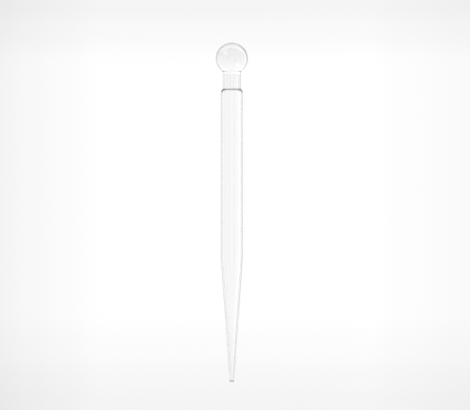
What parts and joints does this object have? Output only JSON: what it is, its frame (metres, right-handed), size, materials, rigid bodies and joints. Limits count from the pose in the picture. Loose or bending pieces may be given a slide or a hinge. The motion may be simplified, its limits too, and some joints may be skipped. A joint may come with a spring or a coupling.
{
  "type": "dropping pipette",
  "caption": "Clear glass dropping pipette: straight barrel with a long taper to a fine jet, and a ball-shaped squeeze bulb that pulls off its spigot.",
  "frame": {"origin": "centre of the jet's end face, on the pipette's axis", "axes": "+Z along the axis, from the jet up to the bulb"},
  "size_m": [0.0102, 0.0102, 0.1072],
  "materials": {
    "clear_glass": "clear, thin-walled, fire-polished",
    "clear_silicone": "clear, soft, glossy"
  },
  "bodies": {
    "barrel": {"glass_barrel": "clear_glass"},
    "bulb": {"squeeze_bulb": "clear_silicone"}
  },
  "joints": [
    {"name": "bulb_pull", "type": "slide", "parent": "barrel", "child": "bulb", "axis": [0, 0, 1], "range_m": [0, 0.008]}
  ]
}
